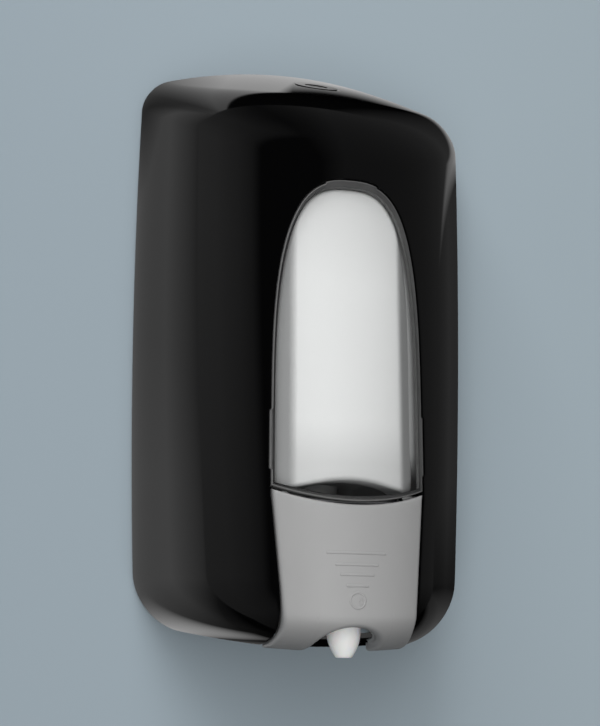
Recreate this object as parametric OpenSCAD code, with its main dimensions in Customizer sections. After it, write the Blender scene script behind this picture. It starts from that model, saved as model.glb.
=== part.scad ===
// Wall mounted push dispenser for liquid soap.
// Frame: +X to the right, +Y into the wall, +Z up. The wall is the plane y = 0 and the
// origin is the middle of the back plate's wall face. "Depth" is the distance from the wall.
// Heights are given above the lowest edge of the cover at the wall, and up() turns them into z.

/* [Body] */
// Height of the cover at the wall
body_h = 205; // [202:1:208]
// Width of the cover at mid height
body_w = 113; // [111:1:115]
// Depth of the cover at mid height
body_d = 74.5; // [73.5:0.5:76]
// How much wider each side is at the top than at the bottom
flare = 4.2; // [3.5:0.1:5]
// How far each side draws in at the top and at the bottom
bow = 2.4; // [2:0.1:2.8]
// How much deeper the front is at the bottom than at the top
lean = 13.5; // [12:0.5:14]
// Wall thickness of the cover
wall = 2.5; // [2.4:0.1:2.6]

/* [Roof and floor] */
// Drop of the roof from its middle to its sides
crown = 11; // [10:0.5:12]
// Slope of the roof where it meets the wall
roof_slope = 0.48; // [0.46:0.01:0.5]
// Steepening of the roof towards the front, per millimetre
roof_curve = 0.0012; // [0.001:0.0001:0.0014]
// Rise of the floor from its middle to its sides
keel = 6.7; // [6:0.1:7.5]
// Slope of the floor, down towards the front
floor_slope = 0.045; // [0.04:0.005:0.05]
// Edge radius of the roof at the sides
roof_r_side = 9; // [8:0.5:10]
// Edge radius of the roof at the front
roof_r_front = 18; // [16:0.5:19]
// Edge radius of the floor at the sides
floor_r_side = 16; // [15:0.5:17]
// Edge radius of the floor at the front
floor_r_front = 19; // [18:0.5:20]

/* [Window and lever] */
// Half width of the window
window_half = 23.9; // [23.7:0.1:24.1]
// Height of the window's peak
window_top = 141.2; // [140:0.1:142]
// Height where the window is widest
window_waist = 63; // [60:1:66]
// Height of the lever's top edge in the middle
lever_top = 39.5; // [39.3:0.1:39.7]
// Rise of the lever's top edge from the middle to the corners
lever_rise = 4.6; // [4:0.1:4.8]
// Height of the lever's rolled foot
lever_r = 10; // [9.5:0.5:10.5]
// Depth of the lever's rolled foot
foot_deep = 20; // [18:0.5:21]
// Wall thickness of the lever
lever_wall = 2.5; // [2.4:0.1:2.6]
// Depth of the lever's axle
axle_d = 65.3; // [65.1:0.1:65.5]
// Height of the lever's axle
axle_h = 41; // [40.8:0.1:41.2]

/* [Pump] */
// Height of the pump's axis
pump_h = 15; // [14.9:0.1:15.1]
// Bore radius of the pump
pump_r = 8.5; // [8.4:0.1:8.6]
// Radial clearance of every running fit
run = 0.05; // [0.03:0.01:0.08]
// Depth of the outlet neck of the tank
neck_d = 23; // [22.8:0.1:23.2]

/* [Hinge and lock] */
// Depth of the cover's hinge axis
hinge_d = 10.5; // [10.4:0.1:10.7]
// Height of the cover's hinge axis
hinge_h = 9.5; // [9.4:0.1:9.6]
// Depth of the lock on the roof
lock_d = 28; // [27.8:0.1:28.2]

/* [Hidden] */

// Steps of the cover's surface: round the section, and down each profile
sweep_n = 40;
roof_n = 6;
fillet_n = 6;
wall_n = 10;
floor_n = 4;
fit_gap = 0.3;    // gap round the window
move_gap = 0.5;   // gap round the lever
dial = 48;        // facets of round parts

// ---- Surface of the body -------------------------------------------------------------------

function up(h) = h - body_h / 2;
function half_w(z, off = 0) = body_w / 2 - off + flare * z / body_h - bow * pow(2 * z / body_h, 2);
function depth_at(z, off = 0) = body_d - off - lean * z / body_h;
function front_d(x, z, off = 0) =
    depth_at(z, off) * sqrt(max(0, 1 - pow(x / half_w(z, off), 2)));
function roof_z(x, d, off) =
    body_h / 2 - off - crown * pow(2 * x / body_w, 2) - roof_slope * d - roof_curve * d * d;
function floor_z(x, d, off) =
    -body_h / 2 + off + keel * pow(2 * x / body_w, 2) - floor_slope * d;
function edge_r(t, side, front) = side * pow(sin(t), 2) + front * pow(cos(t), 2);
function section_at(t, z, off) = [half_w(z, off) * sin(t), depth_at(z, off) * cos(t)];

// Profile of the surface at section angle t, from the middle of the roof to the middle of the
// floor, as pairs of [share of the section, z]
function profile(t, off) =
    let (
        top = section_at(t, body_h / 2 - 30, off),
        low = section_at(t, -body_h / 2 + 10, off),
        rt = edge_r(t, roof_r_side, roof_r_front) - off,
        rb = edge_r(t, floor_r_side, floor_r_front) - off,
        qt = rt / norm(top),
        qb = rb / norm(low),
        roof = [for (i = [0:roof_n - 1]) let (k = (1 - qt) * i / roof_n)
            [k, roof_z(k * top.x, k * top.y, off)]],
        shoulder = [for (i = [0:fillet_n]) let (a = 90 * i / fillet_n, k = 1 - qt * (1 - sin(a)))
            [k, roof_z(k * top.x, k * top.y, off) - rt * (1 - cos(a))]],
        foot = [for (i = [0:fillet_n]) let (a = 90 * i / fillet_n, k = 1 - qb * (1 - cos(a)))
            [k, floor_z(k * low.x, k * low.y, off) + rb * (1 - sin(a))]],
        base = [for (i = [1:floor_n]) let (k = (1 - qb) * (1 - i / floor_n))
            [k, floor_z(k * low.x, k * low.y, off)]],
        z1 = shoulder[fillet_n][1],
        z2 = foot[0][1],
        side = [for (i = [1:wall_n - 1]) [1, z1 + (z2 - z1) * i / wall_n]]
    )
    concat(roof, shoulder, side, foot, base);

// The same profile as points
function skin(t, off) = [for (q = profile(t, off)) let (s = section_at(t, q[1], off))
    [q[0] * s.x, -q[0] * s.y, q[1]]];

// Closed solid between an outer and an inner grid of points of the same size
function quad(a, b, c, d) = [[a, b, c], [a, c, d]];
function grid_faces(n, m) =
    let (s = n * m)
    [for (f = concat(
        [for (i = [0:n - 2], j = [0:m - 2]) each quad(i * m + j, (i + 1) * m + j,
            (i + 1) * m + j + 1, i * m + j + 1)],
        [for (i = [0:n - 2], j = [0:m - 2]) each quad(s + i * m + j + 1, s + (i + 1) * m + j + 1,
            s + (i + 1) * m + j, s + i * m + j)],
        [for (j = [0:m - 2]) each quad(j, j + 1, s + j + 1, s + j)],
        [for (j = [0:m - 2]) let (e = (n - 1) * m) each quad(e + j + 1, e + j, s + e + j,
            s + e + j + 1)],
        [for (i = [0:n - 2]) each quad((i + 1) * m, i * m, s + i * m, s + (i + 1) * m)],
        [for (i = [0:n - 2]) let (e = m - 1) each quad(i * m + e, (i + 1) * m + e,
            s + (i + 1) * m + e, s + i * m + e)])) f];
function same(a, b) = norm(a - b) < 0.0001;
module solid_between(outer, inner) {
    pts = concat([for (row = outer) each row], [for (row = inner) each row]);
    faces = [for (f = grid_faces(len(outer), len(outer[0])))
        let (a = pts[f[0]], b = pts[f[1]], c = pts[f[2]])
        if (!same(a, b) && !same(b, c) && !same(c, a)) f];
    polyhedron(pts, faces, convexity = 6);
}

// Piece of the front wall between two offsets, over a range of x and height
module front_patch(x1, h1, h2, off1, off2, nx, nz) {
    function layer(off) = [for (i = [0:nx]) let (x = x1 * (2 * i / nx - 1))
        [for (j = [0:nz]) let (z = up(h2 + (h1 - h2) * j / nz)) [x, -front_d(x, z, off), z]]];
    solid_between(layer(off1), layer(off2));
}

// Solid through a stack of rings, each one level and with the same number of points
module loft(rings) {
    n = len(rings[0]);
    m = len(rings);
    polyhedron([for (r = rings) each r],
        concat(
            [[for (i = [0:n - 1]) i]],
            [for (j = [0:m - 2], i = [0:n - 1]) let (k = (i + 1) % n)
                each quad(j * n + k, j * n + i, (j + 1) * n + i, (j + 1) * n + k)],
            [[for (i = [n - 1:-1:0]) (m - 1) * n + i]]),
        convexity = 6);
}

// ---- Placing helpers -----------------------------------------------------------------------

// Lays an outline in x and z against the wall and extrudes it forwards from depth d
module forward(d, length) {
    translate([0, -d, 0]) rotate([90, 0, 0]) linear_extrude(length) children();
}
// Round bar along the depth, from depth d
module bar_y(r, d, length, h, x = 0) {
    translate([x, -d, up(h)]) rotate([90, 0, 0]) cylinder(r = r, h = length, $fn = dial);
}
// Round bar along x, from x
module bar_x(r, x, length, d, h) {
    translate([x, -d, up(h)]) rotate([0, 90, 0]) cylinder(r = r, h = length, $fn = dial);
}
// Round bar upwards, from height h
module bar_z(r, h, length, d, x = 0) {
    translate([x, -d, up(h)]) cylinder(r = r, h = length, $fn = dial);
}
// Outline in depth and height, extruded along x from x
module side_profile(x, length, pts) {
    translate([x, 0, 0]) rotate([90, 0, 90]) linear_extrude(length)
        polygon([for (p = pts) [-p[0], up(p[1])]]);
}
module both_sides() {
    children();
    mirror([1, 0, 0]) children();
}

// ---- Outlines of the front opening ---------------------------------------------------------

function lever_edge(x) = lever_top + lever_rise * pow(x / window_half, 2);
function lever_half(h) = 20.15 + 0.0885 * max(0, h - 4) + 0.05 * pow(max(0, 4 - h), 2);

// Right side of the arch, from its waist to its peak
arch_n = 20;
function arch_side(grow) =
    let (rise = window_top + grow - window_waist)
    [for (i = [0:arch_n]) let (s = sin(90 * i / arch_n))
        [(window_half + grow) * pow(max(0, 1 - pow(s, 3.3)), 1 / 3), up(window_waist + rise * s)]];

// Window outline, grown all round by grow; its foot follows the lever's top edge
module window_outline(grow, foot) {
    right = arch_side(grow);
    foot_n = 8;
    polygon(concat(
        [for (i = [0:foot_n]) let (x = (window_half + grow) * (2 * i / foot_n - 1))
            [x, up(lever_edge(min(window_half, abs(x))) + foot)]],
        right,
        [for (i = [arch_n - 1:-1:0]) [-right[i].x, right[i].y]]));
}
// Three snap tabs, stretches of the outline that stand out: one at the peak and one on each side
tab_out = 0.5;
window_foot = 1;     // gap between the window and the lever's top edge
module tab_outline(grow) {
    intersection() {
        window_outline(tab_out + grow, window_foot);
        union() {
            translate([0, up(59)]) square([80, 18 + 2 * grow], center = true);
            translate([0, up(window_top)]) square([16.4 + 2 * grow, 20], center = true);
        }
    }
}
// Lever outline, grown sideways by grow
module lever_outline(grow) {
    low = -6;
    high = lever_top + lever_rise + 1;
    steps = 24;
    function side(s) = [for (i = [0:steps]) let (h = low + (high - low) * i / steps)
        [s * (lever_half(max(-2.5, h)) + grow), up(h)]];
    polygon(concat(side(1), [for (i = [steps:-1:0]) side(-1)[i]]));
}

// ---- Cover ---------------------------------------------------------------------------------

slot_back = 36;     // depth where the floor's slot starts
cheek_in = 24.4;    // inner face of the cheeks that carry the lever
cheek_t = 2;
module cover() {
    color("black") {
        difference() {
            union() {
                difference() {
                    solid_between([for (i = [0:sweep_n]) skin(180 * i / sweep_n - 90, 0)],
                                  [for (i = [0:sweep_n]) skin(180 * i / sweep_n - 90, wall)]);
                    // opening for the window and the lever, through the front and the floor
                    forward(slot_back, 60) window_outline(fit_gap, -3);
                    forward(50, 40) tab_outline(fit_gap);
                    forward(slot_back, 60) lever_outline(move_gap);
                    // rear face, 0.8 mm clear of the wall
                    translate([-body_w, -0.8, -body_h]) cube([2 * body_w, 5, 2 * body_h]);
                    // bottom rear corner, rounded about the hinge so that it clears the wall
                    translate([-body_w, 0, 0]) side_corner();
                    // recess between the hinges for the ears and the pump's socket
                    translate([-29.6, -14, up(-3)]) cube([59.2, 20, 10]);
                    // room for the lever's flared foot as it moves back
                    translate([-23.2, -60, up(-6)]) cube([46.4, 60 - slot_back, 12]);
                }
                // cheeks beside the lever
                both_sides() cheek();
                both_sides() bar_x(2.4, cheek_in, cheek_t, axle_d, axle_h);
                // hinge bosses and their webs to the floor
                both_sides() {
                    bar_x(4, 29.3, 5, hinge_d, hinge_h);
                    side_profile(29.3, 5, [[hinge_d - 3, hinge_h], [hinge_d + 3.4, hinge_h + 2],
                        [hinge_d + 9, 4], [hinge_d - 2, 4]]);
                }
                // pad that seats the lock
                at_lock() translate([0, 0, -3.2]) cylinder(r = 9.5, h = 1.8, $fn = dial);
            }
            both_sides() bar_x(1.52, cheek_in - 1, cheek_t + 4, axle_d, axle_h);
            both_sides() bar_x(1.5 + run, 28, 8, hinge_d, hinge_h);
            at_lock() {
                translate([0, 0, -9]) cylinder(r = 6.02, h = 20, $fn = dial);
                translate([0, 0, -0.9]) cylinder(r = 7.6, h = 12, $fn = dial);
            }
        }
    }
}
// Region behind and below the hinge that lies further than hinge_d from its axis
module side_corner() {
    rotate([90, 0, 90]) linear_extrude(2 * body_w) difference() {
        translate([-hinge_d, up(-8)]) square([hinge_d + 1, hinge_h + 8]);
        translate([-hinge_d, up(hinge_h)]) circle(r = hinge_d - 0.5, $fn = dial);
    }
}
// Depth of the lower front of the body at one x, with the floor's edge radius r
function nose_d(x, h, off, r) =
    let (z = up(h), low = floor_z(x, 60, off), k = min(1, max(0, (low + r - off - z) / (r - off))))
    front_d(x, z, off) - (r - off) * (1 - sqrt(1 - k * k));
module cheek() {
    x = cheek_in + cheek_t;
    side_profile(cheek_in, cheek_t, concat(
        [[slot_back, 0.8], [slot_back, 5], [52, 8], [58, 30], [60, 45.5]],
        [for (h = [45.5, 40, 30, 20, 14]) [nose_d(x, h, 1.6, floor_r_front), h]],
        [for (h = [10, 6, 3]) [nose_d(x, h, 1.6, floor_r_front) - 1.5, h]],
        [[50, 0.4]]));
}

// ---- Window --------------------------------------------------------------------------------

module window() {
    lens_off = 0.4;
    lens_t = 2;
    rim_t = 1.4;
    flange = wall + 0.15;
    color([0.8, 0.85, 0.9, 0.5]) union() {
        intersection() {
            front_patch(26, 38, 144, lens_off, lens_off + lens_t, 12, 10);
            forward(40, 60) window_outline(0, window_foot);
        }
        // rim that passes through the opening, with its tabs
        intersection() {
            front_patch(28, 38, 146, lens_off, flange + rim_t, 12, 10);
            forward(40, 60) difference() {
                union() {
                    window_outline(0, window_foot);
                    tab_outline(0);
                }
                window_outline(-1.6, -2);
            }
        }
        // flange behind the cover
        intersection() {
            front_patch(28, 46.5, 147, flange, flange + rim_t, 12, 10);
            forward(40, 60) difference() {
                window_outline(3.4, -6);
                window_outline(-1.6, -6);
            }
        }
    }
}

// ---- Lever ---------------------------------------------------------------------------------

lever_end = 56;      // depth of the lever's rear edge under the floor
lip_n = 3;
function lever_column(u, off) =
    let (
        r = lever_r - off,
        deep = foot_deep - off,
        top_h = lever_edge(u * window_half) - off * 0.2,
        foot_x = u * (lever_half(0) - off),
        foot_h = floor_z(foot_x, 66, off) + body_h / 2 + r,
        down = [for (i = [0:10])
            let (h = top_h + (foot_h - top_h) * i / 10, x = u * (lever_half(h) - off))
            [x, -front_d(x, up(h), off), up(h)]],
        turn = [for (i = [1:7])
            let (a = 90 * i / 7, h = foot_h - r * sin(a), x = u * (lever_half(h) - off))
            [x, deep * (1 - cos(a)) - front_d(x, up(foot_h), off), up(h)]],
        back = turn[6],
        lip = [for (i = [1:lip_n]) let (d = -back.y + (lever_end - (-back.y)) * i / lip_n)
            [back.x, -d, back.z]]
    )
    concat(down, turn, lip);
nose_h = pump_h;     // height of the noses that press the plunger
nose_gap = 0.5;
push_face = 71;      // depth of the plunger's front face
module lever() {
    color([0.6, 0.6, 0.6]) difference() {
        union() {
            solid_between([for (i = [0:16]) lever_column(i / 8 - 1, 0)],
                          [for (i = [0:16]) lever_column(i / 8 - 1, lever_wall)]);
            both_sides() {
                // side wall with the axle boss
                side_profile(18, 2, concat(
                    [for (h = [40, 34, 28, 20, 12, 6]) [front_d(20, up(h), 1.2), h]],
                    [[68, 2], [62, 2], [63, 14], [65, 28], [63, 38], [63, 42], [66, 43.6], [69.5, 42]]));
                bar_x(2.9, 18, 4.9, axle_d, axle_h);
                // rib with a rounded nose
                side_profile(8, 2, [[front_d(10, up(34), 1.2), 34], [front_d(10, up(22), 1.2), 22],
                    [front_d(10, up(9), 1.2), 9], [76, 9], [push_face + nose_gap + 3, nose_h - 3],
                    [push_face + nose_gap + 3, nose_h + 3], [75, 30]]);
                bar_x(3, 8, 2, push_face + nose_gap + 3, nose_h);
            }
            lever_marks();
            // collar that runs back from the arch round the spout
            intersection() {
                solid_between([for (i = [0:16]) lever_column(i / 8 - 1, 0.8)],
                              [for (i = [0:16]) lever_column(i / 8 - 1, 3.5)]);
                forward(67, 30) spout_arch(1.5);
            }
        }
        both_sides() bar_x(1.5 + run, 15, 12, axle_d, axle_h);
        forward(40, 60) spout_arch(0);
    }
}
// Arch in the lever's foot, grown by grow
module spout_arch(grow) {
    polygon(concat([for (i = [0:12]) let (a = 15 * i)
        [(10.4 + grow) * cos(a), up(-2.6 + (6.6 + grow) * sin(a))]],
        [[-10.4 - grow, up(-8)], [10.4 + grow, up(-8)]]));
}
// Four raised lines that shorten downwards, and a raised ring below them
module lever_marks() {
    heights = [25.2, 21.8, 18.9, 15.7];
    halves = [9.4, 6.8, 5.4, 3.5];
    proud = 0.35;
    for (i = [0:3])
        front_patch(halves[i], heights[i] - 0.45, heights[i] + 0.45, -proud, 0.8, 6, 1);
    difference() {
        bar_y(2.6, front_d(0, up(11.5)) - 1, 1 + proud, 11.5);
        bar_y(1.9, front_d(0, up(11.5)) - 2, 4, 11.5);
    }
}
module lever_axle() {
    color("silver") bar_x(1.5, -26.4, 52.8, axle_d, axle_h);
}

// ---- Back plate ----------------------------------------------------------------------------

plate_t = 3;
plate_gap = 1.2;
plate_low = 21;      // height of the plate's bottom edge
screw_x = 50;        // spacing of the wall screws across
screw_z = 130;       // and upwards
screw_r = 2.6;
screw_low = 52;      // height of the lower pair
module plate_outline(extra) {
    half = skin(90, wall + plate_gap + extra);
    function drop(p, s) = [s * p.x, p.z];
    intersection() {
        polygon(concat([for (p = half) drop(p, 1)], [for (i = [len(half) - 2:-1:1]) drop(half[i], -1)]));
        translate([0, -2.6]) polygon(concat([for (p = half) drop(p, 1)],
            [for (i = [len(half) - 2:-1:1]) drop(half[i], -1)]));
        translate([-body_w, up(plate_low + extra)]) square([2 * body_w, body_h]);
    }
}
ear_x = 24;
module back_plate() {
    color([0.3, 0.3, 0.31]) difference() {
        union() {
            forward(0, plate_t) plate_outline(0);
            // rim
            forward(0, 5.5) difference() {
                plate_outline(0);
                plate_outline(2);
            }
            // bosses round the screw holes
            for (s = [-1, 1], h = [screw_low, screw_low + screw_z])
                bar_y(6, 0, 4.6, h, s * screw_x / 2);
            // shelf arms under the tank, with gussets
            both_sides() {
                translate([26, -46, up(tank_low - 3.2)]) cube([14, 46 - plate_t + 0.5, 3]);
                side_profile(31.5, 3, [[plate_t - 0.5, tank_low - 2], [34, tank_low - 2],
                    [plate_t - 0.5, tank_low - 22]]);
            }
            // hinge ears
            both_sides() {
                bar_x(4, ear_x, 5, hinge_d, hinge_h);
                side_profile(ear_x, 5, [[0.5, plate_low + 4], [0.5, plate_low], [hinge_d - 3, hinge_h - 2],
                    [hinge_d + 3, hinge_h + 2.6], [plate_t, plate_low + 8]]);
            }
            // socket for the tail of the pump
            bar_y(9, plate_t - 0.5, 6.5, 22);
            side_profile(-1, 2, [[plate_t - 0.5, 30], [8, 30], [plate_t - 0.5, 42]]);
            // stiffening ribs
            for (s = [-1, 1])
                translate([s * 40 - 0.8, -5.5, up(60)]) cube([1.6, 3, 110]);
            for (h = [80, 150])
                translate([-40, -5.5, up(h)]) cube([80, 3, 1.6]);
        }
        bar_y(5.05, plate_t - 0.4, 10, 22);
        for (s = [-1, 1], h = [screw_low, screw_low + screw_z])
            bar_y(screw_r, -1, 8, h, s * screw_x / 2);
        both_sides() bar_x(1.52, ear_x - 1, 7, hinge_d, hinge_h);
        // holes for the catch plate's screws
        for (s = [-1, 1]) bar_y(1.2, 0.8, 8, 186, s * 9);
    }
}
module hinge_pins() {
    color("silver") both_sides() {
        bar_x(1.5, ear_x - 0.5, 11.5, hinge_d, hinge_h);
        bar_x(2.6, ear_x - 1.7, 1.2, hinge_d, hinge_h);
    }
}

// ---- Tank ----------------------------------------------------------------------------------

tank_low = 50;
tank_high = 154;
tank_back = 12;
tank_gap = 5;        // gap between the cover and the tank
tank_wall = 1.6;
tank_r = 8;
fill_d = 31;         // depth of the filler neck's axis
fill_r = 19;
tank_n = 20;
bay_off = 4.5;       // how far the raised front panel lies behind the body's surface
bay_half = 22.7;
bay_crease = 16.5;   // where the panel's sides start to slope back
bay_foot_r = 3.8;
function tank_ring(z, inset) =
    let (w = half_w(z, wall + tank_gap) - inset, back = tank_back + inset,
         deep = depth_at(z, wall + tank_gap) - inset - back)
    [for (i = [0:tank_n]) let (t = 180 * i / tank_n - 90) [w * sin(t), -back - deep * cos(t), z]];
function tank_rings(off) =
    let (r = tank_r - off, lo = up(tank_low) + off, hi = up(tank_high) - off)
    concat(
        [for (i = [0:4]) let (a = 22.5 * i) tank_ring(lo + r * (1 - cos(a)), off + r * (1 - sin(a)))],
        [for (i = [1:5]) tank_ring(lo + r + (hi - lo - 2 * r) * i / 6, off)],
        [for (i = [0:4]) let (a = 22.5 * i) tank_ring(hi - r * (1 - sin(a)), off + r * (1 - cos(a)))]);
// Front panel that fills the window: its outline follows the window's, and its foot is arched
// between two rounded corners
function bay_foot(x) =
    let (s = abs(x) / (bay_half - bay_foot_r), c = max(0, abs(x) - bay_half + bay_foot_r))
    44.4 + (s < 1 ? 2.65 * pow(1 - s * s, 1.5)
                  : bay_foot_r - sqrt(max(0, pow(bay_foot_r, 2) - c * c)));
module bay_outline(inset, foot) {
    side = arch_side(bay_half - window_half - inset);
    foot_n = 20;
    polygon(concat(
        [for (i = [0:foot_n]) let (x = bay_half * sin(180 * i / foot_n - 90))
            [x * (1 - inset / bay_half), up(max(foot, bay_foot(x)))]],
        side,
        [for (i = [arch_n - 1:-1:0]) [-side[i].x, side[i].y]]));
}
// The panel's body between two offsets; its sides slope back from the creases
module bay(off, back, inset, foot) {
    columns = [for (i = [-4:4]) bay_crease * (abs(i) < 4 ? i / 3 : 1.4 * sign(i))];
    function layer(off) = [for (x = columns) [for (j = [0:10]) let (z = up(143 - 10 * j))
        [x, 0.5 * max(0, abs(x) - bay_crease) - front_d(x, z, off), z]]];
    intersection() {
        solid_between(layer(off), layer(back));
        forward(30, 60) bay_outline(inset, foot);
    }
}
module tank() {
    color([0.9, 0.9, 0.9, 0.6]) difference() {
        union() {
            loft(tank_rings(0));
            bay(bay_off, 13, 0, 44);
            bar_z(fill_r, tank_high - 1, 5, fill_d);
            bar_z(10.5, 39, tank_low - 38, neck_d);
            bar_z(12.3, 40.4, 1.8, neck_d);
        }
        loft(tank_rings(tank_wall));
        bay(bay_off + tank_wall, 15, tank_wall, 56);
        bar_z(fill_r - 1.8, tank_high - 5, 12, fill_d);
        bar_z(8, 37, 14, neck_d);
    }
}
lid_z = tank_high + 4.05;
module tank_lid() {
    color([0.25, 0.25, 0.26]) difference() {
        union() {
            bar_z(fill_r + 1.5, lid_z, 2, fill_d);
            bar_z(fill_r - 2.1, lid_z - 6, 6.5, fill_d);
            translate([-12, -fill_d - 1.5, up(lid_z + 1.5)]) cube([24, 3, 4]);
        }
        bar_z(fill_r - 4.2, lid_z - 7, 7, fill_d);
        difference() {
            bar_z(fill_r, lid_z - 3.95, 1.3, fill_d);
            bar_z(fill_r - 3.15, lid_z - 5, 4, fill_d);
        }
    }
}
module lid_seal() {
    color([0.85, 0.85, 0.85]) translate([0, -fill_d, up(lid_z - 3.3)])
        rotate_extrude($fn = dial) translate([fill_r - 2.5, 0]) circle(r = 0.65, $fn = 16);
}

// ---- Pump ----------------------------------------------------------------------------------

barrel_back = 14;
barrel_front = 50.5;
chamber = 17;        // depth of the chamber's rear wall
piston_back = 32;
module pump_body() {
    color([0.25, 0.25, 0.26]) difference() {
        union() {
            bar_y(11, barrel_back, barrel_front - barrel_back, pump_h);
            bar_z(8.5, pump_h + 5, 32 - pump_h, neck_d);
            bar_z(12.3, 36, 1.6, neck_d);
            bar_z(7.9, 36, 4.4, neck_d);
            // tail that plugs into the back plate
            bar_y(5, plate_t, 12, 22);
            side_profile(-3, 6, [[9.1, 16], [9.1, 28], [15, 34], [18, 24], [18, 10]]);
        }
        bar_y(pump_r, chamber, barrel_front, pump_h);
        bar_z(3, pump_h + 4, 28, neck_d);
        bar_z(6, 34, 8, neck_d);
    }
}
module inlet_valve() {
    color([0.9, 0.6, 0.5]) difference() {
        union() {
            bar_z(5.9, 34, 1, neck_d);
            bar_z(2.5, 34.5, 2.5, neck_d);
        }
        bar_z(1.2, 35.5, 3, neck_d);
    }
}
module neck_gasket() {
    color([0.2, 0.2, 0.2]) difference() {
        bar_z(10.4, 37.6, 1.4, neck_d);
        bar_z(8, 37, 3, neck_d);
    }
}
module pump_nut() {
    color([0.25, 0.25, 0.26]) difference() {
        union() {
            bar_z(14.2, 34.4, 9.2, neck_d);
            for (i = [0:11]) translate([0, -neck_d, up(34.4)]) rotate([0, 0, 30 * i])
                translate([14, 0, 0]) cylinder(r = 0.9, h = 9.2, $fn = 16);
        }
        bar_z(12.4, 36, 6.2, neck_d);
        bar_z(10.6, 41, 4, neck_d);
        bar_z(8.6, 33, 4, neck_d);
    }
}
rod_r = 5;
head_back = 64.5;
spout_d = 66.3;       // depth of the spout's axis
module plunger() {
    color([0.92, 0.92, 0.9]) difference() {
        union() {
            bar_y(pump_r - run - 0.2, piston_back, 1.2, pump_h);
            bar_y(6.6, piston_back, 5, pump_h);
            bar_y(pump_r - run - 0.2, piston_back + 4, 1.4, pump_h);
            bar_y(rod_r, piston_back, 36, pump_h);
            // head with two wings, where the lever pushes
            side_profile(-12, 24, [[head_back, 11], [head_back, 19], [push_face - 1, 19],
                [push_face, 18], [push_face, 12], [push_face - 1, 11]]);
            bar_z(5.2, 8.5, 5.5, spout_d);
        }
        bar_y(2.4, piston_back - 1, spout_d - piston_back + 1, pump_h);
        bar_y(4.2, piston_back - 1, 3, pump_h);
        bar_z(2.4, 5, 10, spout_d);
        bar_z(4, 5, 5.6, spout_d);
    }
}
module piston_seal() {
    color([0.2, 0.2, 0.2]) translate([0, -piston_back - 1.2, up(pump_h)]) rotate([90, 0, 0])
        rotate_extrude($fn = dial) polygon([[6.6, 0], [8, 0], [pump_r - 0.02, 0.5], [7.9, 1.4],
            [pump_r - 0.02, 2.3], [8, 2.8], [6.6, 2.8]]);
}
// Helical compression spring, wound along the depth
module return_spring() {
    turns = 5;
    wire = 0.55;
    coil_r = 5.6;
    length = piston_back - chamber - 2 * wire - 0.1;
    sides = 6;
    steps = turns * 16;
    function ring(i) = let (a = 360 * turns * i / steps, y = wire + 0.05 + length * i / steps)
        [for (k = [0:sides - 1]) let (b = 360 * k / sides, r = coil_r + wire * cos(b))
            [r * cos(a), -chamber - y - wire * sin(b), up(pump_h) + r * sin(a)]];
    pts = [for (i = [0:steps]) each ring(i)];
    color("silver") polyhedron(pts, concat(
        [[for (k = [0:sides - 1]) k]],
        [for (i = [0:steps - 1], k = [0:sides - 1]) let (n = (k + 1) % sides)
            each quad(i * sides + n, i * sides + k, (i + 1) * sides + k, (i + 1) * sides + n)],
        [[for (k = [sides - 1:-1:0]) steps * sides + k]]), convexity = 10);
}
module gland_cap() {
    color([0.25, 0.25, 0.26]) difference() {
        bar_y(12.4, barrel_front - 6.5, 9, pump_h);
        bar_y(11.02, barrel_front - 7, 7, pump_h);
        bar_y(rod_r + run, barrel_front - 8, 20, pump_h);
    }
}
// Beak that carries the soap down and forwards under the lever
module spout() {
    color("white") difference() {
        hull() {
            translate([0, -spout_d, up(3)]) cylinder(r = 5.2, h = 5.5, $fn = 32);
            translate([0, -spout_d - 0.2, up(0)]) cylinder(r = 4.9, h = 0.1, $fn = 32);
            translate([0, -spout_d - 0.5, up(-4)]) cylinder(r = 2.9, h = 0.1, $fn = 32);
            translate([0, -spout_d - 0.5, up(-4.8)]) cylinder(r = 2.3, h = 0.1, $fn = 32);
        }
        bar_z(1.4, -6, 20, spout_d + 0.3);
    }
}
module outlet_valve() {
    color([0.9, 0.6, 0.5]) bar_y(2.35, 60, 2, pump_h);
}

// ---- Lock ----------------------------------------------------------------------------------

lock_tilt = atan(roof_slope + 2 * roof_curve * lock_d);
module at_lock() {
    translate([0, -lock_d, roof_z(0, lock_d, 0)]) rotate([lock_tilt, 0, 0]) children();
}
module lock_housing() {
    color("silver") at_lock() difference() {
        union() {
            translate([0, 0, -0.9]) cylinder(r = 7.5, h = 0.8, $fn = dial);
            translate([0, 0, -8.4]) cylinder(r = 6, h = 8, $fn = dial);
        }
        translate([0, 0, -10]) cylinder(r = 4 + run, h = 12, $fn = dial);
    }
}
module lock_cylinder() {
    color([0.75, 0.75, 0.77]) at_lock() difference() {
        union() {
            translate([0, 0, -8.6]) cylinder(r = 4, h = 8.3, $fn = dial);
            translate([0, 0, -10.8]) cylinder(r = 2.2, h = 3, $fn = dial);
        }
        translate([-2.4, -0.5, -3]) cube([4.8, 1, 5]);
    }
}
module lock_nut() {
    color("silver") at_lock() difference() {
        translate([0, 0, -5.4]) cylinder(r = 8.6, h = 2.2, $fn = 6);
        translate([0, 0, -7]) cylinder(r = 6.02, h = 6, $fn = dial);
    }
}
// Arm turned aside: the lock is open
module lock_cam() {
    color("silver") at_lock() difference() {
        union() {
            translate([0, 0, -10.4]) cylinder(r = 4, h = 1.6, $fn = dial);
            translate([0, -2.5, -10.4]) cube([11, 5, 1.6]);
            translate([9.2, -2.5, -14.4]) cube([1.8, 5, 4.4]);
        }
        translate([0, 0, -12]) cylinder(r = 2.22, h = 6, $fn = dial);
    }
}
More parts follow.
